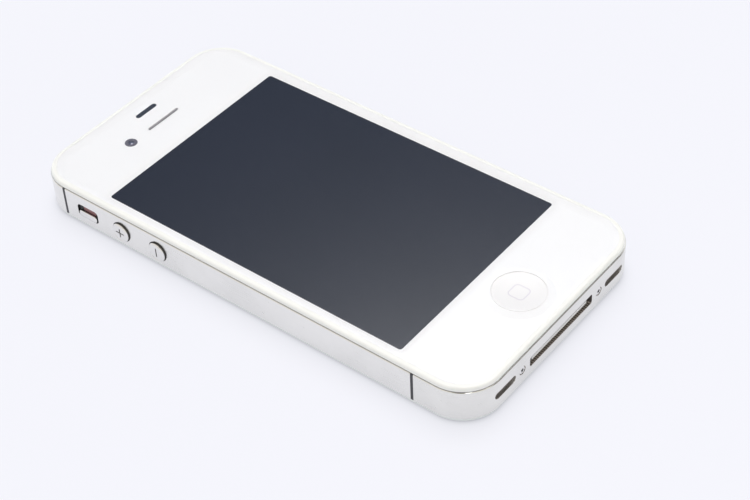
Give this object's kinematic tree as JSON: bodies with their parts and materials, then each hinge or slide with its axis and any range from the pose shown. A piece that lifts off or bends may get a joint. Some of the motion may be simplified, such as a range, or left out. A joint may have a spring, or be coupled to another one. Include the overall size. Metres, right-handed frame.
{
  "type": "smartphone",
  "caption": "Slab smartphone with glass front and back, steel band in segments parted by slits, round home key, side keys, ring lever, card tray, dock and headphone sockets.",
  "frame": {"origin": "centre of the flat back face, where the phone rests on a table", "axes": "+Z out of the front glass, +Y towards the earpiece end, +X to the right seen from the front"},
  "size_m": [0.0592, 0.1157, 0.0093],
  "materials": {
    "band_steel": "satin polished",
    "key_steel": "bright polished",
    "sheet_steel": "rolled sheet",
    "slit_plastic": "fine matte",
    "bezel_plastic": "satin moulded",
    "white_glass": "polished, painted white behind",
    "dark_glass": "polished, unlit",
    "camera_glass": "coated lens glass",
    "flash_plastic": "clear diffuser",
    "home_plastic": "polished",
    "white_plastic": "moulded",
    "black_plastic": "moulded",
    "board_laminate": "lacquered laminate",
    "battery_foil": "black film over foil",
    "flex_film": "polyimide film",
    "gold_contact": "gold plated",
    "mesh_metal": "woven",
    "gasket_rubber": "white, moulded",
    "orange_paint": "painted",
    "sim_plastic": "moulded card",
    "weight_metal": "sintered"
  },
  "bodies": {
    "housing": {"backlight": "white_plastic", "band_bottom": "band_steel", "band_inserts": "slit_plastic", "band_left": "band_steel", "band_right": "band_steel", "band_top": "band_steel", "battery": "battery_foil", "battery_flex": "flex_film", "board_chips": "black_plastic", "board_connectors": "black_plastic", "board_screws": "key_steel", "bottom_meshes": "mesh_metal", "bottom_screws": "key_steel", "camera_ring": "key_steel", "camera_window": "camera_glass", "display_flex": "flex_film", "display_panel": "dark_glass", "dock_contacts": "gold_contact", "dock_flex": "flex_film", "dock_shell": "sheet_steel", "dock_tongue": "white_plastic", "dome_switches": "black_plastic", "earpiece_mesh": "mesh_metal", "earpiece_speaker": "black_plastic", "flash_led": "flash_plastic", "flash_window": "flash_plastic", "front_bezel": "bezel_plastic", "front_camera": "black_plastic", "front_glass": "white_glass", "headphone_jack": "white_plastic", "home_button_gasket": "gasket_rubber", "jack_contacts": "gold_contact", "logic_board": "board_laminate", "microphones": "key_steel", "mid_plate": "sheet_steel", "mute_switch": "black_plastic", "proximity_sensor": "black_plastic", "rear_bezel": "bezel_plastic", "rear_camera": "black_plastic", "rear_glass": "white_glass", "shield_cans": "sheet_steel", "sim_contacts": "gold_contact", "sim_reader": "sheet_steel", "speaker_box": "black_plastic", "speaker_driver": "black_plastic", "switch_brackets": "sheet_steel", "touch_panel": "dark_glass", "vibration_motor": "key_steel"},
    "home_button": {"home_button": "home_plastic"},
    "power_button": {"power_button": "key_steel"},
    "volume_up_button": {"volume_up_button": "key_steel"},
    "volume_down_button": {"volume_down_button": "key_steel"},
    "mute_lever": {"mute_lever": "key_steel", "mute_flag": "orange_paint"},
    "sim_tray": {"sim_tray": "key_steel", "sim_card": "sim_plastic"},
    "sim_eject_rod": {"sim_eject_rod": "sheet_steel"},
    "sim_eject_lever": {"sim_eject_lever": "sheet_steel"},
    "eccentric_weight": {"eccentric_weight": "weight_metal"},
    "focus_barrel": {"focus_barrel": "black_plastic"}
  },
  "joints": [
    {"name": "home_button_press", "type": "slide", "parent": "housing", "child": "home_button", "axis": [0, 0, -1], "range_m": [0, 0.0003], "stiffness_N_per_m": 60},
    {"name": "power_button_press", "type": "slide", "parent": "housing", "child": "power_button", "axis": [0, -1, 0], "range_m": [0, 0.0003], "stiffness_N_per_m": 60},
    {"name": "volume_up_press", "type": "slide", "parent": "housing", "child": "volume_up_button", "axis": [1, 0, 0], "range_m": [0, 0.0003], "stiffness_N_per_m": 60},
    {"name": "volume_down_press", "type": "slide", "parent": "housing", "child": "volume_down_button", "axis": [1, 0, 0], "range_m": [0, 0.0003], "stiffness_N_per_m": 60},
    {"name": "mute_lever_slide", "type": "slide", "parent": "housing", "child": "mute_lever", "axis": [0, 0, 1], "range_m": [0, 0.00135]},
    {"name": "sim_tray_slide", "type": "slide", "parent": "housing", "child": "sim_tray", "axis": [1, 0, 0], "range_m": [0, 0.018]},
    {"name": "sim_eject_rod_slide", "type": "slide", "parent": "housing", "child": "sim_eject_rod", "axis": [-1, 0, 0], "range_m": [0, 0.001]},
    {"name": "sim_eject_lever_turn", "type": "hinge", "parent": "housing", "child": "sim_eject_lever", "pos_m": [0.0099, -0.0008, 0.0043], "axis": [0, 0, -1], "range_deg": [0, 16]},
    {"name": "vibration_spin", "type": "hinge", "parent": "housing", "child": "eccentric_weight", "pos_m": [0.004, 0.0524, 0.0038], "axis": [1, 0, 0], "continuous": true},
    {"name": "focus_slide", "type": "slide", "parent": "housing", "child": "focus_barrel", "axis": [0, 0, -1], "range_m": [0, 0.0003]}
  ],
  "couplings": [
    {"joint": "sim_eject_rod_slide", "follows": "sim_tray_slide", "ratio": 0.0555},
    {"joint": "sim_eject_lever_turn", "follows": "sim_tray_slide", "rad_per_m": 15.5}
  ]
}
